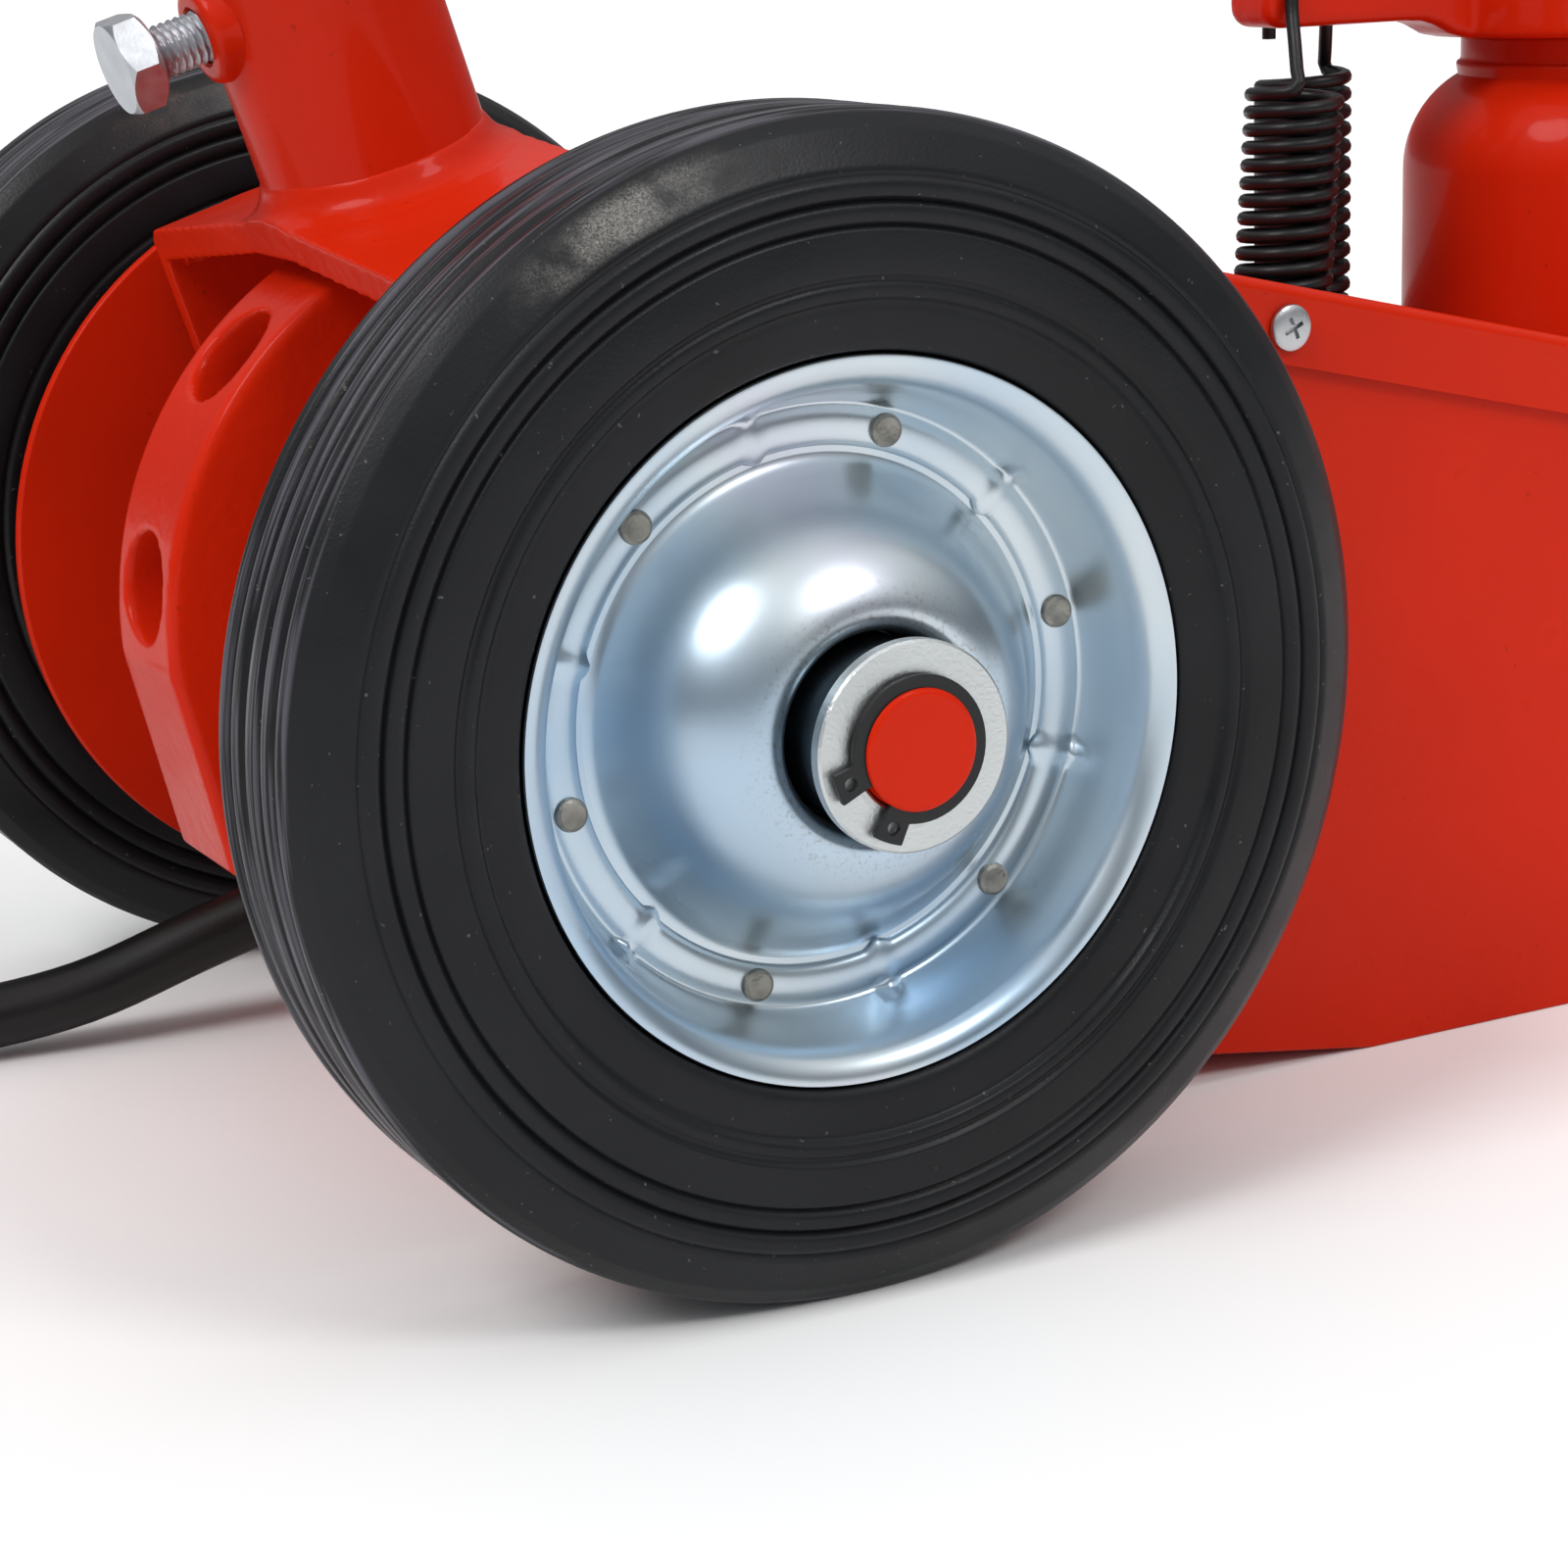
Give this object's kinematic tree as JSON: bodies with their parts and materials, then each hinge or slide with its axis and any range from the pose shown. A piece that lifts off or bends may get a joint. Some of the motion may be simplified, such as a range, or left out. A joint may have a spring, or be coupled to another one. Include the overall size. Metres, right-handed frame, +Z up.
{
  "type": "wheeled air-hydraulic truck jack",
  "caption": "Wheeled air-over-hydraulic truck jack: wedge-shaped red body, solid rubber wheels, spring-returned lifting ram, tilting handle and air hose.",
  "frame": {"origin": "on the ground under the lifting ram, in the body's middle plane", "axes": "+X towards the nose, +Y towards the side away from the viewer, +Z up"},
  "size_m": [0.787, 0.3911, 0.9204],
  "materials": {
    "red_paint": "glossy orange-red enamel",
    "tyre_rubber": "satin black solid rubber",
    "zinc_plate": "bright blue-white zinc plate, soft reflections",
    "washer_steel": "matt grey",
    "black_steel": "black oxide, satin",
    "rivet_steel": "dull grey-brown",
    "spring_steel": "black, slightly oily wire",
    "ram_chrome": "ground and hard-chromed",
    "saddle_iron": "black cast iron",
    "pump_iron": "plain cast iron",
    "motor_alloy": "satin",
    "brass": "satin",
    "pin_steel": "bright steel",
    "fastener_steel": "bright zinc",
    "knob_plastic": "black",
    "grip_rubber": "matt black",
    "hose_rubber": "smooth black"
  },
  "bodies": {
    "chassis": {"base_plate": "red_paint", "side_plate_near": "red_paint", "side_plate_far": "red_paint", "rear_bulkhead": "red_paint", "nose_plate": "red_paint", "lid": "red_paint", "axle": "red_paint", "index_quadrant": "red_paint", "cylinder": "red_paint", "lid_screw_1": "fastener_steel", "lid_screw_2": "fastener_steel", "lid_screw_3": "fastener_steel", "lid_screw_4": "fastener_steel", "quick_nipple": "fastener_steel", "circlip_near": "black_steel", "washer_near": "washer_steel", "circlip_far": "black_steel", "washer_far": "washer_steel", "pump_block": "pump_iron", "spring_rear_near": "spring_steel", "spring_rear_far": "spring_steel", "spring_front_far": "spring_steel", "spring_front_near": "spring_steel", "air_motor": "motor_alloy", "valve_body": "motor_alloy", "hose_gland": "brass", "hose": "hose_rubber", "hose_coil": "hose_rubber"},
    "wheel_near": {"tyre_near": "tyre_rubber", "rim_outer_near": "zinc_plate", "rim_inner_near": "zinc_plate", "hub_near": "black_steel", "rivet_near_1": "rivet_steel", "rivet_near_2": "rivet_steel", "rivet_near_3": "rivet_steel", "rivet_near_4": "rivet_steel", "rivet_near_5": "rivet_steel", "rivet_near_6": "rivet_steel"},
    "wheel_far": {"tyre_far": "tyre_rubber", "rim_outer_far": "zinc_plate", "rim_inner_far": "zinc_plate", "hub_far": "black_steel", "rivet_far_1": "rivet_steel", "rivet_far_2": "rivet_steel", "rivet_far_3": "rivet_steel", "rivet_far_4": "rivet_steel", "rivet_far_5": "rivet_steel", "rivet_far_6": "rivet_steel"},
    "handle": {"yoke": "red_paint", "socket_tube": "red_paint", "clamp_bolt": "zinc_plate", "handle_bar": "red_paint", "grip_near": "grip_rubber", "grip_far": "grip_rubber"},
    "index_pin": {"index_pin": "pin_steel"},
    "ram": {"ram_rod": "ram_chrome", "lift_head": "red_paint"},
    "saddle": {"saddle": "saddle_iron"},
    "release_knob": {"release_knob": "knob_plastic"},
    "valve_lever": {"valve_lever": "knob_plastic"}
  },
  "joints": [
    {"name": "wheel_near_spin", "type": "hinge", "parent": "chassis", "child": "wheel_near", "pos_m": [-0.27, -0.1244, 0.1], "axis": [0, 1, 0], "continuous": true},
    {"name": "wheel_far_spin", "type": "hinge", "parent": "chassis", "child": "wheel_far", "pos_m": [-0.27, 0.1244, 0.1], "axis": [0, 1, 0], "continuous": true},
    {"name": "handle_tilt", "type": "hinge", "parent": "chassis", "child": "handle", "pos_m": [-0.27, 0, 0.1], "axis": [0, -1, 0], "range_deg": [0, 67.3]},
    {"name": "index_pin_drop", "type": "slide", "parent": "handle", "child": "index_pin", "axis": [0.2924, 0, -0.9563], "range_m": [0, 0.016]},
    {"name": "ram_lift", "type": "slide", "parent": "chassis", "child": "ram", "axis": [0, 0, 1], "range_m": [0, 0.11], "deforming": ["spring_rear_near", "spring_rear_far", "spring_front_far", "spring_front_near"]},
    {"name": "saddle_extend", "type": "slide", "parent": "ram", "child": "saddle", "axis": [0, 0, 1], "range_m": [0, 0.06]},
    {"name": "release_valve", "type": "hinge", "parent": "chassis", "child": "release_knob", "pos_m": [0.13, 0.04, 0.052], "axis": [1, 0, 0], "range_deg": [0, 90]},
    {"name": "valve_lever_press", "type": "hinge", "parent": "chassis", "child": "valve_lever", "pos_m": [-0.468, 0.198, 0.032], "axis": [0, 1, 0], "range_deg": [0, 12], "stiffness_Nm_per_rad": 0.5}
  ]
}
